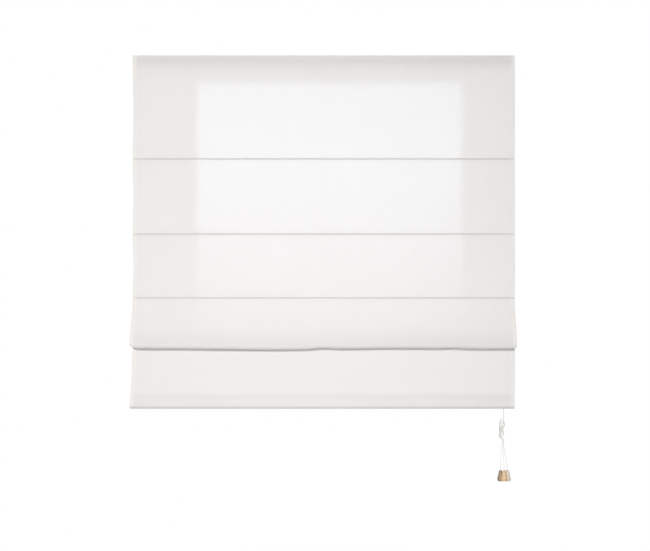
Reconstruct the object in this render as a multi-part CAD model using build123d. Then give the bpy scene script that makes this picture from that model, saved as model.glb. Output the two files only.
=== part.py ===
from build123d import *
from math import acos, atan2, copysign, cos, degrees, radians, sin, sqrt, tan
import os

os.makedirs("parts", exist_ok=True)

# Lengths are in mm. The wall is the plane y = 0, the cloth hangs in front of it at -Y, and the
# origin is the centre of the wall screws of the two outer brackets.

# Cloth, panel by panel down from its top edge
fabric_width = 1350.0
fabric_thickness = 1.0
header_rise = 6.0  # top edge above the rail
first_panel = 366.0
second_panel = 266.0
third_panel = 226.0
fold_front = 178.0  # third rod down to the bottom of the hanging fold
fold_back = 48.0  # and up again behind it to the fourth rod
bottom_panel = 261.0  # fourth rod down to the hem
side_hem = 13.0
side_hem_turn = 0.8  # second layer, turned over on the back

# Tucks that hold the rods, measured at the middle of the cloth
tuck_corner = 1.5
tuck_neck = 1.0
tuck_gap = 0.4  # between the two layers of a neck
pocket_flare = 1.2

# Hanging fold and hem pocket
fold_lean_angle = 16.0
fold_bend = 150.0
fold_radius = 14.0
fold_return = 30.0
fold_gap = 3.0  # between the rising layer and the bottom panel at the fourth rod
hem_pocket = 34.0
hem_seam = 6.0
hem_bend = 4.0
hem_slope_angle = 45.0

# Rods, tips, bottom bar
rod_radius = 2.0
rod_inset = 8.0  # rod end inside the cloth's edge
tip_radius = 2.5
tip_length = 14.0
tip_nose = 3.0  # solid end past the rod
bar_height = 25.0
bar_thickness = 2.0
bar_inset = 14.0
bar_cap_wall = 0.6
bar_cap_length = 16.0
bar_cap_nose = 2.0

# Head rail: an extrusion with a T channel on top and a lipped mouth underneath
rail_standoff = 14.0  # wall to the back of the rail
rail_depth = 26.0
rail_height = 30.0
rail_wall = 1.4
rail_lip = 3.0
rail_corner = 1.5
channel_mouth = 14.0
channel_width = 22.0
channel_depth = 3.2
channel_lip = 1.2
header_overhang = 5.0  # cloth past the end cap
cap_plate = 2.0
cap_spigot = 8.0
tape_height = 20.0
tape_thickness = 1.5
tape_margin = 3.0  # tape below the header's stitch line
header_stitch = 25.0  # stitch line below the cloth's top edge

# Wall brackets and their twist latches
bracket_plate = 2.0
bracket_width = 25.0
bracket_leg = 34.0
bracket_bend = 2.5  # at the middle of the plate
bracket_nose = 10.0  # plate past the latch
bracket_inset = 150.0  # outer bracket from the rail's end
screw_drop = 15.0  # screw pattern's centre below the rail's top
screw_spacing = 16.0
screw_hole_radius = 2.25
latch_stem_radius = 4.0
latch_key_length = 20.0
latch_key_width = 10.0
latch_key_plate = 1.5
latch_lever_length = 24.0
latch_lever_width = 9.0
latch_lever_plate = 2.0

# Cords, rings and cord stops
cord_radius = 0.9
cord_seat = 0.3  # cord above what it runs over
cord_lead = 3.0  # straight end beside a pulley
cord_reach = 455.0  # outer lift cords from the middle
cord_lane = 5.0  # spacing of the cords side by side in the rail
lane_bend = 2000.0
lane_shift_share = 0.78  # of the way to the next carrier
bend_share = 0.45  # of the shorter run, for a bend of a slack cord
ring_radius = 5.0
ring_wire = 1.0
stop_top_radius = 4.6
stop_belly_radius = 5.5
stop_foot_radius = 2.5
stop_height = 14.0
stop_belly_share = 0.35

# Cord carriers and pulleys
pulley_groove = 4.5
pulley_rim = 7.0
pulley_width = 3.6
pulley_headroom = 2.0  # rim below the roof of the rail
groove_floor = 1.9
groove_top = 3.0
pin_radius = 1.5
carrier_length = 24.0
carrier_base = 2.0
carrier_cheek = 1.2
cheek_round = 4.0
eyelet_radius = 4.6
eyelet_bore = 3.0
eyelet_drop = 4.0

# Cord lock
lock_inset = 39.0  # where the cords come down, inside the cloth's edge
lock_entry = 10.0  # housing before the roller's axle
lock_cheek = 2.0
lock_wall = 2.0
lock_nose_wall = 1.2
lock_nose_drop = 4.0
roller_width = 14.0
roller_flange = 0.8
roller_flange_rise = 0.9
cam_radius = 5.5
cam_throw = 1.2
cam_gap = 0.5
cam_drop = 3.0  # pivot below the roller's axle
cam_flute = 0.5
cam_flute_count = 7
cam_flute_step_angle = 18.0

# Wall cleat and what is wound on it
cleat_shift = 1.0  # its middle to the left of the cord lock
cleat_depth_below = 1327.0  # its middle below the cloth's top edge
cleat_height = 78.0
cleat_width = 10.0
cleat_tip_width = 5.0
cleat_out = 20.0  # from the wall to the front of the horns
cleat_stem = 32.0
cleat_neck = 26.0
cleat_throat = 12.0  # behind the horns at the stem
cleat_tip_out = 18.0
cleat_tip_back = 14.0
cleat_round = 1.6
cleat_screw_spacing = 14.0
cleat_screw_radius = 2.0
turns_radius = 2.3
turns_ease = 3.2  # round the horns
tail_gather_drop = 10.0  # below the lower horn

# Tassels
tassel_height = 37.5
tassel_top_radius = 5.0
tassel_base_radius = 11.4
tassel_foot_radius = 9.9
tassel_edge = 0.8
tassel_bore = 1.3
tassel_cup_radius = 8.6
tassel_cup_depth = 15.0
tassel_top_below = 1475.0  # below the cloth's top edge
tassel_belly_share = 0.76  # widest place below the top
tassel_flank_share = 0.46  # of the widening, half way down to it
tassel_foot_share = 0.25  # of the narrowing, half way up from the foot
tassel_off = 9.5  # bunch to the right of the cleat
tassel_reach = 12.5  # outer tassels from the middle of the bunch
tassel_stray = 4.0  # front tassel to the left of that middle
tassel_wall_gap = 1.2  # outer tassels off the wall
tassel_raise = 5.0  # front tassel above the others
knot_radius = 2.4
tail_straight = 14.0  # plumb end of a tail above its tassel

# Fits
seat = 0.3  # soft or loose piece on its seat
run_fit = 0.06  # radius, shaft in hole
play = 0.2  # beside a turning piece
snug = 0.2  # moulded piece in the rail
overrun = 4.0  # cutters past the face they open
half_share = 0.5

# Levels and depths that follow from the sizes above
rail_top = screw_drop
rail_bottom = rail_top - rail_height
rail_back = -rail_standoff
rail_front = rail_back - rail_depth
rail_mid_y = (rail_back + rail_front) / 2
rail_mid_z = (rail_top + rail_bottom) / 2
rail_length = fabric_width - 2 * (header_overhang + cap_plate)
chamber_width = rail_depth - 2 * rail_wall
chamber_floor = rail_bottom + rail_wall
chamber_top = rail_top - channel_lip - channel_depth - rail_wall
rail_mouth = chamber_width - 2 * rail_lip
fabric_top = rail_top + header_rise
lock_x = fabric_width / 2 - lock_inset
cleat_x = lock_x - cleat_shift
cloth_y = rail_front - 2 * tape_thickness - fabric_thickness / 2
rod_levels = []
for panel in (first_panel, second_panel, third_panel, fold_front - fold_back):
    rod_levels.append((rod_levels[-1] if rod_levels else fabric_top) - panel)
hem_level = rod_levels[-1] - bottom_panel
fold_level = rod_levels[2] - fold_front

# Keyhole section of a tuck: the pocket runs round the rod tip, the neck closes behind the face
neck_half = (fabric_thickness + tuck_gap) / 2
pocket_radius = tip_radius + seat + fabric_thickness / 2
flare_angle = degrees(acos((neck_half + pocket_flare) / (pocket_radius + pocket_flare)))
pocket_run = (pocket_radius + pocket_flare) * sin(radians(flare_angle))
rod_y = cloth_y + tuck_corner + tuck_neck + pocket_run
pocket_back = rod_y + pocket_radius + fabric_thickness / 2
lane_y = pocket_back + seat + ring_radius + ring_wire
cord_places = (-cord_reach, 0, cord_reach)
wrap = pulley_groove + cord_seat + cord_radius
pulley_z = chamber_top - pulley_rim - pulley_headroom


def walk(start, heading, moves):
    # A path in the YZ section: a move is a straight run (length, 0) or a bend (radius, degrees to the left)
    y, z = start
    legs = []
    for size, turn in moves:
        legs.append((y, z, heading, size, turn))
        end = offset_point(legs[-1], 1, 0)
        y, z = end.Y, end.Z
        heading += turn
    return legs


def offset_point(leg, share, offset):
    # Point part of the way along a leg, moved to its left
    y, z, heading, size, turn = leg
    angle = radians(heading)
    if turn == 0:
        along = share * size
        rise = z + along * sin(angle) + offset * cos(angle)
        return Vector(0, y + along * cos(angle) - offset * sin(angle), rise)
    side = copysign(1, turn)
    reach = size - side * offset
    end = radians(heading + share * turn)
    centre_y = y - side * size * sin(angle)
    centre_z = z + side * size * cos(angle)
    return Vector(0, centre_y + side * reach * sin(end), centre_z - side * reach * cos(end))


def offset_edge(leg, offset):
    first = offset_point(leg, 0, offset)
    last = offset_point(leg, 1, offset)
    if leg[-1] == 0:
        return Line(first, last)
    return ThreePointArc(first, offset_point(leg, half_share, offset), last)


def sheet(legs, right, left, x_from, x_to):
    # Sheet between two offsets of one path, drawn out along X
    edges = [offset_edge(leg, side) for side in (right, left) for leg in legs]
    edges.append(Line(offset_point(legs[0], 0, right), offset_point(legs[0], 0, left)))
    edges.append(Line(offset_point(legs[-1], 1, right), offset_point(legs[-1], 1, left)))
    return Pos(x_from, 0, 0) * extrude(make_face(edges), amount=x_to - x_from, dir=(1, 0, 0))


def x_cylinder(x, y, z, radius, length):
    return Pos(x, y, z) * Rot(0, 90, 0) * Cylinder(radius, length)


def y_cylinder(x, y, z, radius, length):
    return Pos(x, y, z) * Rot(90, 0, 0) * Cylinder(radius, length)


def turned(points, axis):
    return revolve(make_face(Polyline(points, close=True)), axis=axis)


def tube(points, radii=()):
    # Round cord along straight runs joined by tangent arcs
    path = FilletPolyline(points, radius=list(radii)) if radii else Line(points)
    cord = sweep(Plane(path @ 0, z_dir=path % 0) * Circle(cord_radius), path=path)
    return cord


def slack_radii(points):
    # Each bend of a slack cord is as large as its two runs allow
    radii = []
    for before, corner, after in zip(points, points[1:], points[2:]):
        runs = Vector(corner) - Vector(before), Vector(after) - Vector(corner)
        shorter = min(run.length for run in runs)
        radii.append(bend_share * shorter / tan(radians(runs[0].get_angle(runs[1])) / 2))
    return radii


# Folded cloth
def tuck(entry_turn, entry_neck):
    around = 180 + 2 * flare_angle
    return [
        (tuck_corner, entry_turn),
        (entry_neck, 0),
        (pocket_flare, flare_angle),
        (pocket_radius, -around),
        (pocket_flare, flare_angle),
        (tuck_neck, 0),
        (tuck_corner, 90),
    ]


def hanging_fold():
    # Down and forward from the third tuck, round the fold and up to the fourth: the last run and its
    # lean are solved so that the path arrives upright below the fourth tuck's upper layer
    lean = radians(fold_lean_angle)
    start_z = rod_levels[2] - neck_half - tuck_corner
    drop = start_z - (fold_level + fabric_thickness / 2)
    front_run = (drop - fold_bend * sin(lean) - fold_radius * (1 + sin(lean))) / cos(lean)
    centre_y = cloth_y - fold_bend * (1 - cos(lean)) - front_run * sin(lean) + fold_radius * cos(lean)
    centre_z = fold_level + fabric_thickness / 2 + fold_radius
    across = cloth_y - fold_gap - centre_y - fold_return
    up = rod_levels[3] + neck_half - tuck_corner - centre_z
    inset = fold_radius - fold_return
    back_run = sqrt(across**2 + up**2 - inset**2)
    back_angle = degrees(atan2(back_run, inset) - atan2(up, across))
    return [
        (fold_bend, -fold_lean_angle),
        (front_run, 0),
        (fold_radius, 180 + fold_lean_angle - back_angle),
        (back_run, 0),
        (fold_return, back_angle),
    ]


def hem_turn():
    slope = radians(hem_slope_angle)
    shift = 2 * hem_radius - fabric_thickness - tuck_gap
    slant = (shift - 2 * hem_bend * (1 - cos(slope))) / sin(slope)
    return [
        (hem_radius, 180),
        (hem_pocket, 0),
        (hem_bend, hem_slope_angle),
        (slant, 0),
        (hem_bend, -hem_slope_angle),
        (hem_seam, 0),
    ]


hem_radius = bar_thickness / 2 + bar_cap_wall + seat + fabric_thickness / 2
hem_centre = hem_level + fabric_thickness / 2 + hem_radius
corner_rise = neck_half + tuck_corner
panel_runs = [[(fabric_top - rod_levels[0] - corner_rise, 0)]]
for upper, lower in zip(rod_levels[:2], rod_levels[1:3]):
    panel_runs.append([(upper - lower - 2 * corner_rise, 0)])
panel_runs.append(hanging_fold())
pocket_rise = hem_pocket + 2 * hem_bend + hem_seam
panel_runs.append([(rod_levels[3] - corner_rise - hem_centre - pocket_rise, 0)])
tucks = [tuck(90, tuck_neck)] * 3 + [tuck(-90, tuck_neck + fold_gap)]

moves = []
hem_spans = []
for panel, run in enumerate(panel_runs):
    hem_spans.append((len(moves), len(moves) + len(run)))
    moves += run
    moves += tucks[panel] if panel < len(tucks) else [(pocket_rise, 0)] + hem_turn()
cloth_legs = walk((cloth_y, fabric_top), 270, moves)
fabric = sheet(cloth_legs, -fabric_thickness / 2, fabric_thickness / 2, -fabric_width / 2, fabric_width / 2)
for first, last in hem_spans:
    for x_from in (-fabric_width / 2, fabric_width / 2 - side_hem):
        doubled = fabric_thickness / 2 + side_hem_turn
        fabric += sheet(cloth_legs[first:last], 0, doubled, x_from, x_from + side_hem)

pieces = {"fabric": fabric}

# Head rail, end caps and tapes
section = Pos(rail_mid_y, rail_mid_z) * RectangleRounded(rail_depth, rail_height, rail_corner)
section -= Pos(rail_mid_y, rail_top) * Rectangle(channel_mouth, 2 * channel_lip)
channel_roof = rail_top - channel_lip
channel_floor = channel_roof - channel_depth
section -= Pos(rail_mid_y, channel_floor + channel_depth / 2) * Rectangle(channel_width, channel_depth)
chamber_mid_z = (chamber_floor + chamber_top) / 2
chamber_height = chamber_top - chamber_floor
section -= Pos(rail_mid_y, chamber_mid_z) * Rectangle(chamber_width, chamber_height)
section -= Pos(rail_mid_y, rail_bottom) * Rectangle(rail_mouth, 2 * rail_wall)
# kept as straight strips, web, walls and lips, so that each strip is convex and the hollows stay open
wall_front, wall_back = rail_mid_y - chamber_width / 2, rail_mid_y + chamber_width / 2
strips = [
    (rail_front, wall_front, rail_bottom, channel_floor),
    (wall_front, wall_back, rail_bottom, channel_floor),
    (wall_back, rail_back, rail_bottom, channel_floor),
    (rail_front, rail_back, channel_floor, channel_roof),
    (rail_front, rail_back, channel_roof, rail_top),
]
rail = []
for front, back, low, high in strips:
    window = Pos((front + back) / 2, (low + high) / 2) * Rectangle(back - front, high - low)
    rail += extrude(Plane.YZ * (section & window), amount=rail_length / 2, both=True).solids()
pieces["headrail"] = Compound(children=rail)

for name, side in (("left", -1), ("right", 1)):
    plate = Pos(rail_mid_y, rail_mid_z) * RectangleRounded(rail_depth, rail_height, rail_corner)
    cap = Pos(side * rail_length / 2, 0, 0) * extrude(Plane.YZ * plate, amount=side * cap_plate)
    spigot = Box(cap_spigot, chamber_width - 2 * snug, chamber_height - 2 * snug)
    spigot_x = side * (rail_length - cap_spigot) / 2
    cap += Pos(spigot_x, rail_mid_y, chamber_mid_z) * spigot
    pieces["end_cap_" + name] = cap

tape_length = fabric_width - 2 * (side_hem + tape_margin)
tape_z = fabric_top - header_stitch - tape_margin + tape_height / 2
for name, layer in (("hook_tape", 0), ("loop_tape", 1)):
    tape_y = rail_front - (layer + half_share) * tape_thickness
    pieces[name] = Pos(0, tape_y, tape_z) * Box(tape_length, tape_thickness, tape_height)

# Wall brackets with twist latches
bracket_x = rail_length / 2 - bracket_inset
bracket_top = rail_top + bracket_plate
bracket_moves = [
    (bracket_leg - bracket_plate / 2 - bracket_bend, 0),
    (bracket_bend, 90),
    (-rail_mid_y + bracket_nose - bracket_plate / 2 - bracket_bend, 0),
]
bracket_legs = walk((-bracket_plate / 2, bracket_top - bracket_leg), 90, bracket_moves)
key_top = rail_top - channel_lip - play
for name, x in (("left", -bracket_x), ("centre", 0), ("right", bracket_x)):
    half_plate = bracket_plate / 2
    bracket = sheet(bracket_legs, -half_plate, half_plate, x - bracket_width / 2, x + bracket_width / 2)
    for z in (-screw_spacing / 2, screw_spacing / 2):
        bracket -= y_cylinder(x, 0, z, screw_hole_radius, 2 * bracket_plate + overrun)
    stem_hole = Cylinder(latch_stem_radius + run_fit, bracket_plate + overrun)
    bracket -= Pos(x, rail_mid_y, rail_top + bracket_plate / 2) * stem_hole
    pieces["bracket_" + name] = bracket

    stem_foot = key_top - latch_key_plate
    stem_top = bracket_top + play + latch_lever_plate
    latch = Pos(0, 0, (stem_foot + stem_top) / 2) * Cylinder(latch_stem_radius, stem_top - stem_foot)
    key = Rot(0, 0, 90) * SlotOverall(latch_key_length, latch_key_width)
    latch += Pos(0, 0, stem_foot) * extrude(key, amount=latch_key_plate)
    lever_mid = (latch_lever_length - latch_lever_width) / 2
    lever = Pos(lever_mid, 0) * SlotOverall(latch_lever_length, latch_lever_width)
    latch += Pos(0, 0, bracket_top + play) * extrude(lever, amount=latch_lever_plate)
    pieces["latch_" + name] = Pos(x, rail_mid_y, 0) * latch

# Pulleys in their carriers
base_width = chamber_width - 2 * snug
base_top = chamber_floor + carrier_base
base_mid_z = chamber_floor + carrier_base / 2
cheek_y = pulley_width / 2 + play + carrier_cheek / 2
pulley_outline = [
    (pin_radius + run_fit, -pulley_width / 2),
    (pulley_rim, -pulley_width / 2),
    (pulley_rim, -groove_top / 2),
    (pulley_groove, -groove_floor / 2),
    (pulley_groove, groove_floor / 2),
    (pulley_rim, groove_top / 2),
    (pulley_rim, pulley_width / 2),
    (pin_radius + run_fit, pulley_width / 2),
]
pin_length = pulley_width + 2 * (play + carrier_cheek)
pins = []
for name, x in zip(("left", "centre", "right"), cord_places):
    axle_x = x + wrap
    carrier = Pos(axle_x, rail_mid_y, base_mid_z) * Box(carrier_length, base_width, carrier_base)
    for side in (-1, 1):
        cheek_rise = pulley_z - base_top + carrier_base
        cheek = Pos(0, (base_top + pulley_z) / 2) * Rectangle(2 * cheek_round, cheek_rise)
        cheek += Pos(0, pulley_z) * Circle(cheek_round)
        plate = extrude(Plane.XZ * cheek, amount=carrier_cheek / 2, both=True)
        carrier += Pos(axle_x, lane_y + side * cheek_y, 0) * plate
    nose_foot = rail_bottom - eyelet_drop
    eyelet = Cylinder(eyelet_radius, base_mid_z - nose_foot)
    carrier += Pos(x, lane_y, (base_mid_z + nose_foot) / 2) * eyelet
    carrier -= Pos(x, lane_y, nose_foot) * Cylinder(eyelet_bore, 2 * (base_top - nose_foot) + overrun)
    carrier -= y_cylinder(axle_x, lane_y, pulley_z, pin_radius + run_fit, pin_length + overrun)
    pieces["carrier_" + name] = carrier
    pieces["pulley_" + name] = Pos(axle_x, lane_y, pulley_z) * turned(pulley_outline, Axis.Y)
    pins.append(y_cylinder(axle_x, lane_y, pulley_z, pin_radius, pin_length))
pieces["pulley_pins"] = Compound(children=pins)

# Cord lock: the cords come in over the roller and go down past the cam
roller_x = lock_x - wrap
cam_x = lock_x + cord_radius + cam_gap + cam_radius + cam_throw
cam_z = pulley_z - cam_drop
lock_left = roller_x - lock_entry
lock_right = cam_x + cam_radius + cam_throw + play + lock_wall
lock_length = lock_right - lock_left
lock_mid = (lock_left + lock_right) / 2
cheek_height = chamber_top - snug - chamber_floor
cheek_mid_z = chamber_floor + cheek_height / 2
lock_inside = roller_width + 2 * play
nose_half = rail_mouth / 2 - snug
housing = Pos(lock_mid, rail_mid_y, base_mid_z) * Box(lock_length, base_width, carrier_base)
for side in (-1, 1):
    cheek_mid_y = lane_y + side * (lock_inside + lock_cheek) / 2
    housing += Pos(lock_mid, cheek_mid_y, cheek_mid_z) * Box(lock_length, lock_cheek, cheek_height)
end_wall = Box(lock_wall, lock_inside + lock_cheek, cheek_height)
housing += Pos(lock_right - lock_wall / 2, lane_y, cheek_mid_z) * end_wall
nose_height = base_mid_z - rail_bottom + lock_nose_drop
nose_z = rail_bottom - lock_nose_drop + nose_height / 2
nose_length = 2 * nose_half
housing += Pos(lock_x, rail_mid_y, nose_z) * Box(nose_length, nose_length, nose_height)
cord_slot = 2 * (nose_half - lock_nose_wall)
housing -= Pos(lock_x, rail_mid_y, nose_z) * Box(cord_slot, cord_slot, 2 * nose_height)
lock_pin_length = lock_inside + 2 * lock_cheek
for x, z in ((roller_x, pulley_z), (cam_x, cam_z)):
    housing -= y_cylinder(x, lane_y, z, pin_radius + run_fit, lock_pin_length + overrun)
pieces["lock_housing"] = housing

flange_radius = pulley_groove + roller_flange_rise
roller_outline = [
    (pin_radius + run_fit, -roller_width / 2),
    (flange_radius, -roller_width / 2),
    (flange_radius, roller_flange - roller_width / 2),
    (pulley_groove, roller_flange - roller_width / 2),
    (pulley_groove, roller_width / 2 - roller_flange),
    (flange_radius, roller_width / 2 - roller_flange),
    (flange_radius, roller_width / 2),
    (pin_radius + run_fit, roller_width / 2),
]
pieces["lock_roller"] = Pos(roller_x, lane_y, pulley_z) * turned(roller_outline, Axis.Y)
pieces["roller_pin"] = y_cylinder(roller_x, lane_y, pulley_z, pin_radius, lock_pin_length)
cam = y_cylinder(-cam_throw, 0, 0, cam_radius, roller_width)
for step in range(cam_flute_count):
    angle = radians(180 + (step - (cam_flute_count - 1) / 2) * cam_flute_step_angle)
    flute_x = cam_radius * cos(angle) - cam_throw
    cam -= y_cylinder(flute_x, 0, cam_radius * sin(angle), cam_flute, roller_width + overrun)
cam -= y_cylinder(0, 0, 0, pin_radius + run_fit, roller_width + overrun)
pieces["lock_cam"] = Pos(cam_x, lane_y, cam_z) * cam
pieces["cam_pin"] = y_cylinder(cam_x, lane_y, cam_z, pin_radius, lock_pin_length)

# Rods with tips, rings behind each rod, bottom bar
rod_length = fabric_width - 2 * (rod_inset + tip_nose)
ring = Torus(ring_radius, ring_wire)
for number, z in enumerate(rod_levels, 1):
    pieces[f"rod_{number}"] = x_cylinder(0, rod_y, z, rod_radius, rod_length)
    tips = []
    for side in (-1, 1):
        tip_end = side * (rod_length / 2 + tip_nose)
        tip = x_cylinder(tip_end - side * tip_length / 2, rod_y, z, tip_radius, tip_length)
        tip = fillet(tip.edges().sort_by(Axis.X)[-1 if side > 0 else 0], tip_radius / 2)
        tip -= x_cylinder(0, rod_y, z, rod_radius + run_fit, rod_length)
        tips.append(tip)
    pieces[f"rod_tips_{number}"] = Compound(children=tips)
    pieces[f"rings_{number}"] = Compound(children=[Pos(x, lane_y, z) * ring for x in cord_places])

stop_top = rod_levels[3] - ring_wire - seat
stop_belly = (stop_belly_radius, -stop_belly_share * stop_height)
stop_curve = ThreePointArc((stop_top_radius, 0), stop_belly, (stop_foot_radius, -stop_height))
stop_sides = Polyline((stop_foot_radius, -stop_height), (0, -stop_height), (0, 0), (stop_top_radius, 0))
cord_stop = revolve(Plane.XZ * make_face([stop_curve, stop_sides]), axis=Axis.Z)
pieces["cord_stops"] = Compound(children=[Pos(x, lane_y, stop_top) * cord_stop for x in cord_places])

bar_y = cloth_y + hem_radius
bar_z = hem_centre + bar_cap_wall + bar_height / 2
bar_length = fabric_width - 2 * bar_inset
pieces["bottom_bar"] = Pos(0, bar_y, bar_z) * Box(bar_length, bar_thickness, bar_height)
bar_caps = []
for side in (-1, 1):
    cap_x = side * (bar_length / 2 + bar_cap_nose - bar_cap_length / 2)
    cap = Box(bar_cap_length, bar_thickness + 2 * bar_cap_wall, bar_height + 2 * bar_cap_wall)
    cap = Pos(cap_x, bar_y, bar_z) * cap
    cap -= Pos(0, bar_y, bar_z) * Box(bar_length, bar_thickness + 2 * run_fit, bar_height + 2 * run_fit)
    bar_caps.append(cap)
pieces["bar_caps"] = Compound(children=bar_caps)

# Wall cleat
cleat_z = fabric_top - cleat_depth_below
cleat_half = cleat_height / 2
side_view = make_face(
    [
        Polyline(
            (-cleat_tip_out, -cleat_half),
            (-cleat_tip_back, -cleat_half),
            (-cleat_throat, -cleat_neck / 2),
            (0, -cleat_stem / 2),
            (0, cleat_stem / 2),
            (-cleat_throat, cleat_neck / 2),
            (-cleat_tip_back, cleat_half),
            (-cleat_tip_out, cleat_half),
        ),
        ThreePointArc((-cleat_tip_out, cleat_half), (-cleat_out, 0), (-cleat_tip_out, -cleat_half)),
    ]
)
tip_half = cleat_tip_width / 2
front_edges = [Line((-tip_half, z), (tip_half, z)) for z in (-cleat_half, cleat_half)]
for side in (-1, 1):
    belly = (side * cleat_width / 2, 0)
    front_edges.append(ThreePointArc((side * tip_half, -cleat_half), belly, (side * tip_half, cleat_half)))
front_view = make_face(front_edges)
cleat = extrude(Plane.YZ * side_view, amount=cleat_width, both=True)
cleat &= extrude(Plane.XZ * front_view, amount=cleat_out + overrun, both=True)
horn_edges = cleat.edges().filter_by(lambda edge: edge.center().Y < -cleat_throat - cleat_round)
cleat = fillet(horn_edges.filter_by(Axis.X), cleat_round)
for z in (-cleat_screw_spacing / 2, cleat_screw_spacing / 2):
    cleat -= y_cylinder(0, 0, z, cleat_screw_radius, 2 * cleat_out + overrun)
pieces["cleat"] = Pos(cleat_x, 0, cleat_z) * cleat

# Turns on the cleat: a figure of eight behind both horns, crossing in front; one strand and its mirror
turns_front = -cleat_out - turns_radius - turns_ease / 2
turns_side = cleat_width / 2 + turns_radius + turns_ease
turns_back = turns_radius + seat - cleat_throat
turns_points = []
for side in (1, -1):
    level = side * (cleat_neck / 2 + turns_radius)
    eight = [
        (0, turns_back, level + side * turns_radius * 2),
        (-side * turns_side / 2, turns_back, level + side * turns_radius * 2),
        (-side * turns_side, (turns_front + turns_back) / 2, level),
        (-side * turns_side * half_share, turns_front, side * cleat_neck / 4),
    ]
    turns_points += eight if side > 0 else eight[::-1]
turns_radii = slack_radii(turns_points)
turns_path = FilletPolyline(turns_points, radius=turns_radii)
strand = sweep(Plane(turns_path @ 0, z_dir=turns_path % 0) * Circle(turns_radius), path=turns_path)
turns = strand + mirror(strand, about=Plane.YZ)
pieces["cleat_turns"] = Pos(cleat_x, 0, cleat_z) * turns
print("turns radii", [round(radius, 1) for radius in turns_radii])

# Lift cords, cords along the rail, pull cords down to the cleat
nose_exit = rail_bottom - lock_nose_drop
entry_x = cleat_x + turns_side
entry_y = (turns_front + turns_back) / 2
entry_z = cleat_z + cleat_neck / 2 + turns_radius
cord_top = pulley_z + wrap
lanes = {"left": 1, "centre": -1, "right": 0}
for (name, lane), x in zip(lanes.items(), cord_places):
    lift_top = pulley_z - cord_lead
    lift_cord = Cylinder(cord_radius, lift_top - stop_top)
    pieces["lift_cord_" + name] = Pos(x, lane_y, (stop_top + lift_top) / 2) * lift_cord
    run_y = lane_y + lane * cord_lane
    entry = Vector(entry_x, entry_y + lane * (2 * cord_radius + seat), entry_z)
    turn_down = Vector(lock_x, run_y, cord_top)
    exit_share = (cord_top - nose_exit) / (cord_top - entry.Z)
    leave = turn_down + (entry - turn_down) * exit_share
    route = [(x, lane_y, lift_top), (x, lane_y, cord_top)]
    radii = [wrap, wrap]
    if lane:
        route.append((x + wrap + lane_shift_share * cord_reach, run_y, cord_top))
        radii.insert(1, lane_bend)
    route += [tuple(turn_down), tuple(leave)]
    pieces["rail_cord_" + name] = tube(route, radii)
    pieces["pull_cord_" + name] = tube([tuple(leave), tuple(entry)])
    print("rail cord", name, "radii", radii)

# Tails below the cleat with their tassels: two by the wall, the third in front and against the left one
tail_starts = ((7.0, -12.6), (7.0, -17.4), (7.4, -15.0))
tail_gathers = ((1.6, -11.4), (3.6, -16.6), (5.6, -12.6))
tail_start_z = cleat_z - cleat_neck / 2 - turns_radius
tail_gather_z = cleat_z - cleat_half - tail_gather_drop
tassel_back = -tassel_wall_gap - tassel_base_radius
tassel_apart = 2 * (tassel_base_radius + seat)
tassel_front = tassel_back - sqrt(tassel_apart**2 - (tassel_reach - tassel_stray) ** 2)
tassel_places = (
    (tassel_off - tassel_reach, tassel_back),
    (tassel_off - tassel_stray, tassel_front),
    (tassel_off + tassel_reach, tassel_back),
)
tassel_top = fabric_top - tassel_top_below
cup_roof = tassel_cup_depth - tassel_height
belly_z = -tassel_belly_share * tassel_height
flank_radius = tassel_top_radius + tassel_flank_share * (tassel_base_radius - tassel_top_radius)
foot_radius = tassel_base_radius - tassel_foot_share * (tassel_base_radius - tassel_foot_radius)
foot_point = (foot_radius, (belly_z - tassel_height) / 2)
flank = ThreePointArc((tassel_top_radius, 0), (flank_radius, belly_z / 2), (tassel_base_radius, belly_z))
foot = ThreePointArc((tassel_base_radius, belly_z), foot_point, (tassel_foot_radius, -tassel_height))
cup = Polyline(
    (tassel_foot_radius, -tassel_height),
    (tassel_cup_radius, -tassel_height),
    (knot_radius + seat, cup_roof),
    (tassel_bore, cup_roof),
    (tassel_bore, 0),
    (tassel_top_radius, 0),
)
bell = make_face([flank, foot, cup])
tassel = revolve(Plane.XZ * bell, axis=Axis.Z)
tassel = fillet(tassel.edges().group_by(Axis.Z)[-1].sort_by(SortBy.RADIUS)[-1], tassel_edge)
knot_drop = cup_roof - knot_radius - seat
tails = zip(("left", "middle", "right"), tail_starts, tail_gathers, tassel_places, (0, tassel_raise, 0))
for name, start, gather, place, rise in tails:
    top = tassel_top + rise
    tail_levels = (tail_start_z, tail_gather_z, top + tail_straight, top + knot_drop)
    route = zip((start, gather, place, place), tail_levels)
    points = [(cleat_x + x, y, z) for (x, y), z in route]
    radii = slack_radii(points)
    tail = tube(points, radii)
    tail += Pos(points[-1]) * Sphere(knot_radius)
    pieces["tail_cord_" + name] = tail
    pieces["tassel_" + name] = Pos(cleat_x + place[0], place[1], top) * tassel
    print("tail", name, "radii", [round(radius, 1) for radius in radii])

for name, piece in pieces.items():
    export_step(piece, f"parts/{name}.step")
cloth_path = sum(size * radians(abs(turn)) or size for y, z, heading, size, turn in cloth_legs)
print(len(pieces), "pieces, cloth path", round(cloth_path))
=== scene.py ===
import bpy
import math
from mathutils import Matrix, Vector, noise


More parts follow.
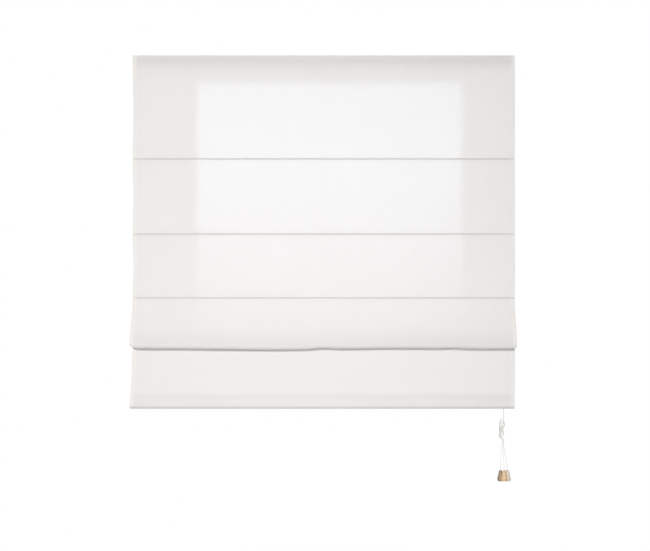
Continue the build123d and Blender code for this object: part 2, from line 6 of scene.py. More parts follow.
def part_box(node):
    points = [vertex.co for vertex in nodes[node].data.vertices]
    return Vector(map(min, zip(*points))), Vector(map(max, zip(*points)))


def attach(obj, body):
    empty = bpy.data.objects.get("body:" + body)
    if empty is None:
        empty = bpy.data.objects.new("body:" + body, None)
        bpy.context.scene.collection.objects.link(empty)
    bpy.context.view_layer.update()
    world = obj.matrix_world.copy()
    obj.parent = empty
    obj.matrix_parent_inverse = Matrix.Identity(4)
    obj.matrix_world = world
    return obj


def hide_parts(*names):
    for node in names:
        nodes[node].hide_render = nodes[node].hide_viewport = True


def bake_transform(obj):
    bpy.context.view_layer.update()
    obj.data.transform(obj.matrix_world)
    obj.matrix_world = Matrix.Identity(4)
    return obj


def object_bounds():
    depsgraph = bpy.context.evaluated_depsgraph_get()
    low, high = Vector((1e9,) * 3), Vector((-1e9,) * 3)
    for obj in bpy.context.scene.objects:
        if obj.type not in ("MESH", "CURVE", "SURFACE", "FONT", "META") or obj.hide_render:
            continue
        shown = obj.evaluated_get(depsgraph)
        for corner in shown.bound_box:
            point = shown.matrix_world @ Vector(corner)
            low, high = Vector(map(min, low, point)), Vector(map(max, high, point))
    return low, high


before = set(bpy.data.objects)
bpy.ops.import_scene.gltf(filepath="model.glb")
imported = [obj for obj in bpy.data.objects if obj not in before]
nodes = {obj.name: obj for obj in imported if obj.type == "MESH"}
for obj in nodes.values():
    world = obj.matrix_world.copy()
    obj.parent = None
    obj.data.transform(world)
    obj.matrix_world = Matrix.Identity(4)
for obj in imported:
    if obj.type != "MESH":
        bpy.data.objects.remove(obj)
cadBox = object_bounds()
scene = bpy.context.scene
scene.view_settings.view_transform = "Standard"
mm = 0.001

# where the CAD pieces are
rodBoxes = [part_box(f"rod_{n}") for n in (1, 2, 3, 4)]
rodY = (rodBoxes[0][0][1] + rodBoxes[0][1][1]) / 2
rodLevels = [(low[2] + high[2]) / 2 for low, high in rodBoxes]
clothLow, clothHigh = [Vector(corner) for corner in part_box("fabric")]
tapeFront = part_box("loop_tape")[0][1]
halfWidth = clothHigh.x
cordSides = ("left", "centre", "right")
cordPlaces = [sum(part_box(f"lift_cord_{side}")[i][0] for i in (0, 1)) / 2 for side in cordSides]
laneY = sum(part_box("lift_cord_left")[i][1] for i in (0, 1)) / 2
print("frame loaded:", len(nodes), "nodes")


def deselectAll():
    if bpy.context.object and bpy.context.object.mode != "OBJECT":
        bpy.ops.object.mode_set(mode="OBJECT")
    bpy.ops.object.select_all(action="DESELECT")


def pick(piece):
    deselectAll()
    piece.select_set(True)
    bpy.context.view_layer.objects.active = piece


def applyModifiers(piece, angle=40):
    pick(piece)
    for modifier in list(piece.modifiers):
        bpy.ops.object.modifier_apply(modifier=modifier.name)
    bpy.ops.object.shade_smooth_by_angle(angle=math.radians(angle))


def joinCopies(model, name, placings):
    # one mesh with a copy of the model at each placing
    copies = []
    for placing in placings:
        copy = bpy.data.objects.new(name, model.data.copy())
        copy.data.transform(placing)
        scene.collection.objects.link(copy)
        copies.append(copy)
    deselectAll()
    for copy in copies:
        copy.select_set(True)
    bpy.context.view_layer.objects.active = copies[0]
    if len(copies) > 1:
        bpy.ops.object.join()
    copies[0].name = name
    return copies[0]


# colours and nodes; a wave texture turns by so many radians a unit across straight and slanting bands
straightWave = 20
slantWave = 10


def linear(hexColour):
    channels = [int(hexColour[i:i + 2], 16) / 255 for i in (1, 3, 5)]
    return [c / 12.92 if c <= 0.04045 else ((c + 0.055) / 1.055) ** 2.4 for c in channels] + [1]


def node(tree, kind, settings=None, **links):
    # adds a node; a link is named after its input with _ for a space, or in and the input's number
    new = tree.nodes.new(kind)
    for key, value in (settings or {}).items():
        if key in new.inputs:
            new.inputs[key].default_value = value
        else:
            setattr(new, key, value)
    for key, source in links.items():
        byNumber = key[:2] == "in" and key[2:].isdigit()
        socket = new.inputs[int(key[2:]) if byNumber else key.replace("_", " ")]
        if isinstance(source, bpy.types.NodeSocket):
            tree.links.new(source, socket)
        else:
            socket.default_value = source
    return new


def newMaterial(name, roughness, hexColour, **sockets):
    material = bpy.data.materials.new(name)
    material.use_nodes = True
    shader = material.node_tree.nodes["Principled BSDF"]
    shader.inputs["Base Color"].default_value = linear(hexColour)
    shader.inputs["Roughness"].default_value = roughness
    for key, value in sockets.items():
        shader.inputs[key.replace("_", " ")].default_value = value
    return material, material.node_tree, shader


def waveScale(pitch, radians):
    return 2 * math.pi / (radians * pitch)


def paint(material, *names):
    for name in names:
        nodes[name].data.materials.clear()
        nodes[name].data.materials.append(material)


# camera: level with the middle of the picture, three metres in front of the cloth
view = {"pixel": 3.539 * mm, "width": 650, "middleX": 325.0, "middleY": 275.5,
        "clothX": 323.75, "clothTop": 55.5, "distance": 3.0, "sensor": 36}
clothThickness = 0.9 * mm
clothSeat = 0.1 * mm
clothY = tapeFront - clothThickness / 2 - clothSeat


def makeCamera():
    camera = bpy.data.cameras.new("frontCamera")
    camera.sensor_width = view["sensor"]
    camera.lens = view["sensor"] * view["distance"] / (view["width"] * view["pixel"])
    holder = bpy.data.objects.new("frontCamera", camera)
    scene.collection.objects.link(holder)
    holder.location = ((view["middleX"] - view["clothX"]) * view["pixel"], clothY - view["distance"],
                       clothHigh.z - (view["middleY"] - view["clothTop"]) * view["pixel"])
    holder.rotation_euler = (math.radians(90), 0, 0)
    scene.camera = holder


makeCamera()

# braided polyester cord: matt white, strands crossing on the slant, drawn twice as coarse as real ones
braid = {"colour": "#F1EFEA", "shade": "#D8D5CE", "pitch": 2.2 * mm, "roughness": 0.75, "sheen": 0.15,
         "bump": 0.5, "relief": 0.15 * mm}


def makeBraid():
    material, tree, shader = newMaterial("braidedPolyester", braid["roughness"], braid["colour"],
                                         Sheen_Weight=braid["sheen"])
    place = node(tree, "ShaderNodeTexCoord").outputs["Object"]
    bands = {"bands_direction": "DIAGONAL", "Scale": waveScale(braid["pitch"], slantWave)}
    slants = []
    for turn in (1, -1):
        slant = node(tree, "ShaderNodeMapping", {"Scale": (turn, turn, 1)}, Vector=place)
        slants.append(node(tree, "ShaderNodeTexWave", bands, Vector=slant.outputs[0]).outputs[1])
    strands = node(tree, "ShaderNodeMath", {"operation": "MAXIMUM"}, in0=slants[0], in1=slants[1])
    tone = node(tree, "ShaderNodeMix", {"data_type": "RGBA"}, Factor=strands.outputs[0],
                in6=linear(braid["shade"]), in7=linear(braid["colour"]))
    tree.links.new(tone.outputs[2], shader.inputs["Base Color"])
    bump = node(tree, "ShaderNodeBump", {"Strength": braid["bump"], "Distance": braid["relief"]},
                Height=strands.outputs[0])
    tree.links.new(bump.outputs[0], shader.inputs["Normal"])
    return material


braidMaterial = makeBraid()

# pull cords: from the lock down to the cleat, one and a half figures of eight, then a tail with its tassel;
# places and sizes in mm, lengths of cord in m
pullCords = {
    "radius": 0.9, "step": 1.9, "nose": -19.0, "entryDeep": -16.65, "entryStep": 2.1,
    "fronts": (-22.0, -23.95, -25.9),  # each crossing lies on the one before
    "cross": (4.3, 8.2), "slant": (0.86, 0.51), "behind": -9.4, "sideStep": 2.2,
    "tassels": {"left": "left", "right": "middle", "centre": "right"},
    "lanes": {"left": 1, "right": 0, "centre": -1},
    "corners": {"left": (4.6, -9.2, -33.0), "right": (6.0, -9.8, -31.1), "centre": (7.6, -9.2, -29.2)},
    "gathers": {"left": (1.6, -11.4, -49.0), "right": (3.6, -16.6, -49.0), "centre": (5.6, -12.6, -49.0)},
    "above": (7.2, 33.0),  # from the cleat's middle, where the three cords come together
    "plumb": 14.0, "knot": 2.4, "lengths": {"left": 1.621, "right": 1.619, "centre": 1.624},
}


def eightPoints(k):
    # places from the cleat's middle in mm; k is -1 for the cord that lies uppermost, then 0 and 1
    crossX, crossZ = pullCords["cross"]
    slantX, slantZ = (part * pullCords["step"] * k for part in pullCords["slant"])
    first, second, third = pullCords["fronts"]
    behind, down, side = pullCords["behind"], pullCords["step"] * k, pullCords["sideStep"] * k
    return [
        (6.9, pullCords["entryDeep"] + pullCords["entryStep"] * k, 17.0),
        (crossX + slantX, first, crossZ - slantZ), (slantX - crossX, first, -crossZ - slantZ),
        (-8.8, -16.2, -18.4 - side), (-4.8, behind, -23.0 - down), (4.8, behind, -23.0 - down),
        (8.8, -16.2, -18.4 - side),
        (crossX - slantX, second, -crossZ - slantZ), (-slantX - crossX, second, crossZ - slantZ),
        (-8.8, -16.2, 18.6 - side), (-4.8, behind, 24.5 - down), (4.8, behind, 24.5 - down),
        (10.4, -12.6, 22.4 - side), (10.2, -20.5, 16.6 - side),
        (crossX + slantX, third, crossZ - slantZ), (slantX - crossX, third, -crossZ - slantZ),
        (-10.6, -16.8, -22.6 - side), (-4.8, behind, -30.6 - down),
    ]


def makePullCord(name):
    lane = pullCords["lanes"][name]
    cleatLow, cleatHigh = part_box("cleat")
    cleatMiddle = Vector(((cleatLow[0] + cleatHigh[0]) / 2, 0, (cleatLow[2] + cleatHigh[2]) / 2))
    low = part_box(f"pull_cord_{name}")[0]
    radius = pullCords["radius"] * mm
    leave = Vector((low[0] + radius, low[1] + radius, pullCords["nose"] * mm))
    aboveX, aboveZ = pullCords["above"]
    aboveY = pullCords["entryDeep"] + pullCords["entryStep"] * lane
    above = Vector((aboveX, aboveY, aboveZ)) * mm + cleatMiddle
    points = [leave, above] + [Vector(p) * mm + cleatMiddle for p in eightPoints(lane)]
    points += [Vector(pullCords[stage][name]) * mm + cleatMiddle for stage in ("corners", "gathers")]
    tassel = nodes["tassel_" + pullCords["tassels"][name]]
    tasselLow, tasselHigh = [Vector(corner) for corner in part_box(tassel.name)]
    axis = (tasselLow + tasselHigh) / 2
    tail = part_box("tail_cord_" + pullCords["tassels"][name])[0][2] + pullCords["knot"] * mm
    points += [Vector((axis.x, axis.y, z)) for z in (tasselHigh.z + pullCords["plumb"] * mm, axis.z, tail)]
    curve = bpy.data.curves.new(f"pullCord{name.title()}", "CURVE")
    curve.dimensions = "3D"
    spline = curve.splines.new("NURBS")
    spline.points.add(len(points) - 1)
    for point, place in zip(spline.points, points):
        point.co = (*place, 1)
    spline.order_u = 3
    spline.use_endpoint_u = True
    curve.resolution_u = 10
    curve.bevel_depth = radius
    curve.bevel_resolution = 2
    curve.use_fill_caps = True
    piece = bpy.data.objects.new(curve.name, curve)
    scene.collection.objects.link(piece)
    curve.materials.append(braidMaterial)
    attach(piece, "blind")
    knot = makeKnot(f"knot{name.title()}", points[-1])
    swaps = [f"pull_cord_{name}", "tail_cord_" + pullCords["tassels"][name]]
    if name == "left":
        swaps.append("cleat_turns")
    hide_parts(*swaps)


# overhand knot under each tassel's roof
knotSize = {"ring": 1.5 * mm, "strand": 0.85 * mm, "voxel": 0.22 * mm, "tilt": (0.5, 0.3, 0), "cross": 84,
            "stretch": 1.15, "smoothing": 2, "shadeAngle": 60}


def makeKnot(name, place):
    deselectAll()
    bpy.ops.mesh.primitive_torus_add(major_radius=knotSize["ring"], minor_radius=knotSize["strand"],
                                     major_segments=20, minor_segments=10, rotation=knotSize["tilt"])
    knot = bpy.context.object
    bpy.ops.object.transform_apply(location=True, rotation=True, scale=True)
    bpy.ops.object.mode_set(mode="EDIT")
    bpy.ops.mesh.select_all(action="SELECT")
    bpy.ops.mesh.duplicate()
    bpy.ops.transform.rotate(value=math.radians(knotSize["cross"]), orient_axis="X",
                             center_override=(0, 0, 0))
    bpy.ops.mesh.select_all(action="SELECT")
    bpy.ops.transform.resize(value=(1, 1, knotSize["stretch"]), center_override=(0, 0, 0))
    bpy.ops.transform.translate(value=place)
    bpy.ops.object.mode_set(mode="OBJECT")
    knot.name = name
    melt = knot.modifiers.new("melt", "REMESH")
    melt.voxel_size = knotSize["voxel"]
    calm = knot.modifiers.new("calm", "SMOOTH")
    calm.iterations = knotSize["smoothing"]
    applyModifiers(knot, knotSize["shadeAngle"])
    knot.data.materials.append(braidMaterial)
    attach(knot, "blind")
    return knot


for cordName in ("left", "right", "centre"):
    makePullCord(cordName)
print("pull cords wound on the cleat")

# slub cotton: plain weave with thicker threads here and there, matt and slightly see-through
slubCotton = {"face": "#F6F3F0", "shade": "#EFECE9", "daylight": "#F3F4F6", "thread": 1.5 * mm,
              "slub": 24 * mm, "through": 0.38, "throughHem": 0.2, "hemFrom": 13.5 * mm, "hemTo": 11.5 * mm,
              # painted light and shade on the next line: the hems' colour is painted whiter, and a darker
              # band along their folded edges is painted shade
              "hemFace": "#F8F5F2", "crease": 3.0 * mm, "sideShade": 0.4, "paintedEdgeShade": "#DCD8D4",
              "roughness": 0.92, "sheen": 0.1, "specular": 0.2, "slubStretch": 12, "slubSpread": 1.6,
              "threadShare": 0.45, "wander": 0.5, "toneFrom": 0.9, "toneTo": 1.9, "bump": 0.2,
              "relief": 0.3 * mm}


def makeCotton():
    material, tree, shader = newMaterial("slubCotton", slubCotton["roughness"], slubCotton["face"],
                                         Sheen_Weight=slubCotton["sheen"],
                                         Specular_IOR_Level=slubCotton["specular"])
    uv = node(tree, "ShaderNodeTexCoord").outputs["UV"]  # metres on the flat cut
    long, spread = slubCotton["slubStretch"], slubCotton["slubSpread"] * slubCotton["slub"]
    heights = []
    for direction, scale in (("X", (long, 1, 1)), ("Y", (1, long, 1))):
        stretch = node(tree, "ShaderNodeMapping", {"Scale": [part / spread for part in scale]}, Vector=uv)
        slubs = node(tree, "ShaderNodeTexNoise", {"Scale": 1.0, "Detail": 3.0}, Vector=stretch.outputs[0])
        # threads drawn about twice as coarse as real ones, so that they show in a near view
        bands = {"bands_direction": direction, "Distortion": slubCotton["wander"], "Detail": 1.0,
                 "Scale": waveScale(slubCotton["thread"], straightWave)}
        threads = node(tree, "ShaderNodeTexWave", bands, Vector=uv)
        height = node(tree, "ShaderNodeMath", {"operation": "MULTIPLY_ADD"}, in0=threads.outputs[1],
                      in1=slubCotton["threadShare"], in2=slubs.outputs[0])
        heights.append(height.outputs[0])
    weave = node(tree, "ShaderNodeMath", {"operation": "ADD"}, in0=heights[0], in1=heights[1])
    tones = {"From Min": slubCotton["toneFrom"], "From Max": slubCotton["toneTo"]}
    share = node(tree, "ShaderNodeMapRange", tones, Value=weave.outputs[0])
    tone = node(tree, "ShaderNodeMix", {"data_type": "RGBA"}, Factor=share.outputs[0],
                in6=linear(slubCotton["shade"]), in7=linear(slubCotton["face"]))
    bump = node(tree, "ShaderNodeBump", {"Strength": slubCotton["bump"], "Distance": slubCotton["relief"]},
                Height=weave.outputs[0])
    tree.links.new(bump.outputs[0], shader.inputs["Normal"])
    # the doubled hems let less light through, and they are painted a little whiter: painted light
    split = node(tree, "ShaderNodeSeparateXYZ", Vector=uv)
    across = node(tree, "ShaderNodeMath", {"operation": "ABSOLUTE"}, in0=split.outputs[0])
    hemEdge = {"From Min": halfWidth - slubCotton["hemFrom"], "From Max": halfWidth - slubCotton["hemTo"]}
    side = node(tree, "ShaderNodeMapRange", hemEdge, Value=across.outputs[0])
    lower = node(tree, "ShaderNodeAttribute", {"attribute_name": "lowerHem"})
    hem = node(tree, "ShaderNodeMath", {"operation": "MAXIMUM"}, in0=side.outputs[0],
               in1=lower.outputs["Fac"])
    face = node(tree, "ShaderNodeMix", {"data_type": "RGBA"}, Factor=hem.outputs[0], in6=tone.outputs[2],
                in7=linear(slubCotton["hemFace"]))
    # painted shade: a darker band along the folded outer edge of the side hems and along the hem's lower edge
    away = node(tree, "ShaderNodeMath", {"operation": "SUBTRACT"}, in0=across.outputs[0], in1=halfWidth)
    away = node(tree, "ShaderNodeMath", {"operation": "ABSOLUTE"}, in0=away.outputs[0])
    folded = {"From Max": slubCotton["crease"], "To Min": slubCotton["sideShade"], "To Max": 0.0}
    crease = node(tree, "ShaderNodeMapRange", folded, Value=away.outputs[0])
    bottomEdgeShade = node(tree, "ShaderNodeAttribute", {"attribute_name": "lowerEdgeShade"})
    crease = node(tree, "ShaderNodeMath", {"operation": "MAXIMUM"}, in0=crease.outputs[0],
                  in1=bottomEdgeShade.outputs["Fac"])
    face = node(tree, "ShaderNodeMix", {"data_type": "RGBA"}, Factor=crease.outputs[0], in6=face.outputs[2],
                in7=linear(slubCotton["paintedEdgeShade"]))
    tree.links.new(face.outputs[2], shader.inputs["Base Color"])
    thin = {"To Min": slubCotton["through"], "To Max": slubCotton["throughHem"]}
    share = node(tree, "ShaderNodeMapRange", thin, Value=hem.outputs[0])
    through = node(tree, "ShaderNodeBsdfTranslucent", {"Color": linear(slubCotton["daylight"])})
    mix = node(tree, "ShaderNodeMixShader", in0=share.outputs[0], in1=shader.outputs[0],
               in2=through.outputs[0])
    tree.links.new(mix.outputs[0], tree.nodes["Material Output"].inputs["Surface"])
    return material


cottonMaterial = makeCotton()

# the cloth: cut flat, then folded row by row along the section that the rods and the hem give
cloth = {
    "columns": 104, "edgeBand": 16 * mm, "edgeShares": (0.75, 0.55, 0.37, 0.22, 0.1, 0),
    "edgeTurn": 11.5 * mm, "edgeRadius": 0.6 * mm, "topTurn": 6.0 * mm, "still": 40 * mm,
    "neckGap": 0.5 * mm, "corner": (4.9 * mm, 1.1 * mm), "cornerEase": 0.2, "cornerReach": 12 * mm,
    "flare": 1.2 * mm, "pocket": 3.3 * mm,
    "foldDepth": 213 * mm, "foldLean": 16, "foldBend": 150 * mm, "foldRadius": 12 * mm,
    "foldReturn": 30 * mm, "foldGap": 3 * mm, "foldCorner": 12 * mm, "foldRound": 0.8, "foldRise": 1 * mm,
    "hemPocket": 34 * mm, "hemRadius": 2.4 * mm, "rollRadius": 9 * mm, "rollTurn": 36, "rollDrop": 1 * mm,
    "hemBend": 4 * mm, "hemSlope": 45, "hemSeam": 6 * mm, "hemPuff": 2.4 * mm, "hemPuffUp": 10 * mm,
    # the lower hem takes this share of the hems' whiter painted-light colour and of their lower light through
    "hemPuffReach": 7 * mm, "lowerHem": 0.5, "lowerShadeReach": 9.5 * mm, "seamClose": 0.4, "hemBlend": 3,
    "pinch": 3.4 * mm, "foldSway": 3.6 * mm, "stitchDown": 25 * mm, "stitchBand": 8 * mm,
    "puff": 1.2 * mm, "puffDown": 33 * mm, "puffDimple": 2.5 * mm, "bow": 2.5 * mm, "ripple": 1.2 * mm,
    "rippleAcross": 5.0, "rippleDown": 7.0, "rippleLayer": 3.1, "splay": (-6.0 * mm, 6.0 * mm),
}
neckHalf = (clothThickness + cloth["neckGap"]) / 2
foldLevel = clothLow.z + cloth["foldDepth"]
sinkings = ((3.4, -0.17, 0.24), (-1.8, 0.24, 0.16), (0.9, 0.58, 0.10))  # mm down, place and half-width in m
catches = ((4.2, 0.0, 0.035), (2.4, 0.455, 0.028), (4.5, -0.68, 0.02))


def hill(x, middle, spread):
    return math.exp(-((x - middle) / spread) ** 2)


def foldDrop(x):
    # the fold's edge hangs lower between the lift cords and is caught up at two of them and at its left end
    drop = sum(size * hill(x, *where) for size, *where in sinkings)
    drop -= sum(size * hill(x, *where) for size, *where in catches)
    corner = cloth["foldCorner"]
    short = max(0, corner - (halfWidth - abs(x))) / corner  # rounded off at both ends
    cutOff = corner * (1 - math.sqrt(1 - min(1, short) ** 2)) * cloth["foldRound"]
    return drop * mm - cloth["foldRise"] - cutOff


def cornerSizes(x):
    # a tuck's corner is a slow and a tight bend, 45 degrees each: both radii, then the way down and back
    ease = 1 - cloth["cornerEase"] * hill(abs(x), halfWidth, cloth["cornerReach"])
    slow, tight = (size * ease for size in cloth["corner"])
    half = math.sqrt(0.5)
    return slow, tight, slow * half + tight * (1 - half), slow * (1 - half) + tight * half


def tuckMoves(entryTurn, extra, corner):
    # each move is a radius or length, a turn in degrees, a number of steps and a kind of run
    slow, tight, _, back = corner
    flare = math.degrees(math.acos((neckHalf + cloth["flare"]) / (cloth["pocket"] + cloth["flare"])))
    run = (cloth["pocket"] + cloth["flare"]) * math.sin(math.radians(flare))
    neck = rodY - clothY - back - run
    return [(slow, entryTurn / 2, 4, "tuck"), (tight, entryTurn / 2, 3, "tuck"),
            (neck + extra, 0, 1, "tuck"), (cloth["flare"], flare, 2, "sleeve"),
            (cloth["pocket"], -180 - 2 * flare, 12, "sleeve"), (cloth["flare"], flare, 2, "sleeve"),
            (neck, 0, 1, "tuck"), (tight, 45, 3, "tuck"), (slow, 45, 4, "tuck")]


def foldMoves(x, corner):
    lean = math.radians(cloth["foldLean"])
    radius, bend, back = cloth["foldRadius"], cloth["foldBend"], cloth["foldReturn"]
    low = foldLevel - foldDrop(x) + clothThickness / 2
    drop = rodLevels[2] - neckHalf - corner - low
    front = (drop - bend * math.sin(lean) - radius * (1 + math.sin(lean))) / math.cos(lean)
    middleY = clothY - bend * (1 - math.cos(lean)) - front * math.sin(lean) + radius * math.cos(lean)
    across = clothY - cloth["foldGap"] - middleY - back
    up = rodLevels[3] + neckHalf - corner - low - radius
    rise = math.sqrt(across ** 2 + up ** 2 - (radius - back) ** 2)
    turn = math.degrees(math.atan2(rise, radius - back) - math.atan2(up, across))
    return [(bend, -cloth["foldLean"], 8, "fold"), (front, 0, 14, "fold"),
            (radius, 180 + cloth["foldLean"] - turn, 18, "fold"), (rise, 0, 6, "rise"),
            (back, turn, 4, "rise")]


def clothMoves(x):
    corner = cornerSizes(x)
    rise = neckHalf + corner[2]
    top = cloth["edgeRadius"]
    band = cloth["stitchBand"]
    header = cloth["stitchDown"] - band / 2
    moves = [(cloth["topTurn"], 0, 2, "top"), (top, 180, 5, "top"), (header - top, 0, 6, "head"),
             (band, 0, 8, "head"),
             (clothHigh.z - header - band - rodLevels[0] - rise, 0, 32, "panel")] + tuckMoves(90, 0, corner)
    for upper, lower in zip(rodLevels[:2], rodLevels[1:3]):
        moves += [(upper - lower - 2 * rise, 0, 20, "panel")] + tuckMoves(90, 0, corner)
    moves += foldMoves(x, corner[2]) + tuckMoves(-90, cloth["foldGap"], corner)
    hemMiddle = clothLow.z + clothThickness / 2 + cloth["hemRadius"]
    slope = math.radians(cloth["hemSlope"])
    slant = 2 * (cloth["hemRadius"] - neckHalf) - 2 * cloth["hemBend"] * (1 - math.cos(slope))
    slant /= math.sin(slope)
    # the hem's lower edge: a slow roll, a tight turn and a slow roll up again
    roll, rollTurn = cloth["rollRadius"], cloth["rollTurn"]
    away, down = 1 - math.cos(math.radians(rollTurn)), math.sin(math.radians(rollTurn))
    tight = (cloth["hemRadius"] - roll * away) / (1 - away)
    lift = roll * down + tight * (1 - down) - cloth["hemRadius"] - cloth["rollDrop"]
    pocket = cloth["hemPocket"] + 2 * cloth["hemBend"] + cloth["hemSeam"]
    moves += [(rodLevels[3] - rise - hemMiddle - lift - pocket, 0, 20, "last"), (pocket, 0, 22, "hemFace"),
              (roll, rollTurn, 5, "hem"), (tight, 180 - 2 * rollTurn, 7, "hem"), (roll, rollTurn, 5, "hem"),
              (cloth["hemPocket"] - lift, 0, 4, "hem"), (cloth["hemBend"], cloth["hemSlope"], 3, "hem"),
              (slant, 0, 1, "hem"), (cloth["hemBend"], -cloth["hemSlope"], 3, "seam"),
              (cloth["hemSeam"], 0, 1, "seam")]
    return moves


def walk(start, heading, moves):
    # rows of y, z, heading, length so far, kind of run and share of that run
    y, z = start
    angle, length = math.radians(heading), 0
    rows = [(y, z, angle, 0, moves[0][3], 0)]
    for size, turn, steps, kind in moves:
        sweep, side = math.radians(turn), math.copysign(1, turn)
        midY, midZ = y - side * size * math.sin(angle), z + side * size * math.cos(angle)
        for step in range(1, steps + 1):
            part = step / steps
            if turn == 0:
                row = (y + part * size * math.cos(angle), z + part * size * math.sin(angle), angle,
                       length + part * size)
            else:
                now = angle + part * sweep
                row = (midY + side * size * math.sin(now), midZ - side * size * math.cos(now), now,
                       length + part * size * abs(sweep))
            rows.append((*row, kind, part))
        y, z, angle, length = rows[-1][:4]
    return rows


def clothRows(x):
    radius = cloth["edgeRadius"]
    return walk((clothY + 2 * radius, clothHigh.z - radius - cloth["topTurn"]), 90, clothMoves(x))


def clothPoint(x, back, row):
    # the row's place with the panel's bow, the header's puff, the pinched left side and the splayed hem
    y, z, angle, length, kind, part = row
    toLeft = max(0, -x / halfWidth)
    if kind == "panel":
        x += toLeft * cloth["pinch"] * math.sin(math.pi * part) ** 2
    if kind in ("fold", "rise"):
        sunk = min(1, max(0, (rodLevels[2] - z) / (rodLevels[2] - foldLevel)))
        x -= toLeft * cloth["foldSway"] * math.sin(math.pi / 2 * sunk) ** 2
    if kind in ("panel", "last"):
        swell = math.sin(math.pi * part) ** 2
        where = Vector((x * cloth["rippleAcross"], length * cloth["rippleDown"], cloth["rippleLayer"]))
        y -= swell * (cloth["bow"] + cloth["ripple"] * noise.noise(where))
    if kind == "head":
        down = clothHigh.z - z
        dimple = 1 - hill(down, cloth["stitchDown"], cloth["puffDimple"])
        y -= cloth["puff"] * dimple * math.sin(math.pi * min(1, down / cloth["puffDown"])) ** 0.5
    if kind in ("hemFace", "hem"):
        facing = max(0, -math.sin(angle))
        y -= cloth["hemPuff"] * hill(z - clothLow.z, cloth["hemPuffUp"], cloth["hemPuffReach"]) * facing
    if kind in ("last", "hemFace", "hem", "seam"):
        down = (rodLevels[3] - z) / (rodLevels[3] - clothLow.z)
        x += down ** 2 * (cloth["splay"][0] + cloth["splay"][1] * x / halfWidth)
    if kind == "seam":
        back *= cloth["seamClose"]
    return Vector((x, y - back * math.sin(angle), z + back * math.cos(angle)))


def clothColumns():
    # flat places across the cut, and where each comes to lie: x and how far behind the face
    radius, turn = cloth["edgeRadius"], cloth["edgeTurn"]
    straight = halfWidth - radius
    count = cloth["columns"]
    even = [(straight - cloth["edgeBand"]) * (2 * i / count - 1) for i in range(count + 1)]
    near = [straight - cloth["edgeBand"] * share for share in cloth["edgeShares"]]
    inner = [(x, x, 0) for x in [-x for x in near[::-1]] + even + near]
    outer = []
    for step in range(1, 5):
        angle = math.pi * step / 4
        x = straight + radius * math.sin(angle)
        outer.append((straight + radius * angle, x, radius * (1 - math.cos(angle))))
    for step in range(1, 4):
        reach = turn * step / 3
        outer.append((straight + radius * math.pi + reach, straight - reach, 2 * radius))
    return [(-flat, -x, back) for flat, x, back in outer[::-1]] + inner + outer


def makeCloth():
    columns = clothColumns()
    paths = [clothRows(x) for flat, x, back in columns]
    rowCount = len(paths[0])
    deselectAll()
    bpy.ops.mesh.primitive_grid_add(x_subdivisions=len(columns) - 1, y_subdivisions=rowCount - 1, size=2)
    piece = bpy.context.object
    piece.name = "clothSheet"
    mesh = piece.data
    cells = []
    for vertex in mesh.vertices:
        column = round((vertex.co.x + 1) / 2 * (len(columns) - 1))
        row = round((1 - vertex.co.y) / 2 * (rowCount - 1))
        cells.append((column, row))
        vertex.co = clothPoint(columns[column][1], columns[column][2], paths[column][row])
    uvs = mesh.uv_layers.active.data
    for loop in mesh.loops:
        column, row = cells[loop.vertex_index]
        uvs[loop.index].uv = (columns[column][0], -paths[column][row][3])
    # the lower hem's share of the whiter colour, painted light, and of the lower light through
    doubled, bottomEdgeShade = [], []
    for column, row in cells:
        z, kind, part = (paths[column][row][i] for i in (1, 4, 5))
        inHem = 1 if kind in ("hem", "seam") else 0
        if kind == "hemFace":
            inHem = min(1, cloth["hemBlend"] * part)
        doubled.append(cloth["lowerHem"] * inHem)
        # painted shade: darker towards the lower hem's bottom edge, fading out over the reach given in the
        # cloth table
        bottomEdgeShade.append(max(0, 1 - (z - clothLow.z) / cloth["lowerShadeReach"]) if inHem else 0)
    for name, values in (("lowerHem", doubled), ("lowerEdgeShade", bottomEdgeShade)):
        mesh.attributes.new(name, "FLOAT", "POINT").data.foreach_set("value", values)
    lowerRows = [max(cells[v][1] for v in face.vertices) for face in mesh.polygons]
    sleeves = cutSleeves(piece, lowerRows, paths[0])
    for part in [piece] + sleeves:
        solid = part.modifiers.new("thickness", "SOLIDIFY")
        solid.thickness = clothThickness
        solid.offset = 0
        applyModifiers(part)
        part.data.materials.append(cottonMaterial)
    cut = (columns[-1][0] - columns[0][0], paths[len(columns) // 2][-1][3])
    print("cloth folded:", len(columns), "columns,", rowCount, "rows, cut", [round(side, 4) for side in cut])
    return piece, sleeves, cut


def cutSleeves(piece, lowerRows, rows):
    # the sleeves of the three upper rods become pieces of their own, so that each keeps its shape on its rod
    number, sleeveOfRow = 0, []
    for before, row in zip([rows[0]] + rows, rows):
        number += row[4] == "sleeve" and before[4] != "sleeve"
        sleeveOfRow.append(number if row[4] == "sleeve" else 0)
    tags = [sleeveOfRow[row] for row in lowerRows]
    piece.data.attributes.new("sleeve", "INT", "FACE").data.foreach_set("value", tags)
    sleeves = []
    for n in (1, 2, 3):
        pick(piece)
        bpy.ops.object.mode_set(mode="EDIT")
        bpy.ops.mesh.select_mode(type="FACE")
        bpy.ops.mesh.select_all(action="DESELECT")
        bpy.ops.object.mode_set(mode="OBJECT")
        for face, tag in zip(piece.data.polygons, piece.data.attributes["sleeve"].data):
            face.select = tag.value == n
        bpy.ops.object.mode_set(mode="EDIT")
        bpy.ops.mesh.separate(type="SELECTED")
        bpy.ops.object.mode_set(mode="OBJECT")
        sleeve = [found for found in bpy.context.selected_objects if found != piece][0]
        sleeve.name = f"rodSleeve{n}"
        sleeves.append(sleeve)
    return sleeves


clothPiece, sleevePieces, clothCut = makeCloth()
for rodNumber, sleevePiece in enumerate(sleevePieces, 1):
    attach(sleevePiece, f"rod_{rodNumber}")
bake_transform(clothPiece)
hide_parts("fabric")

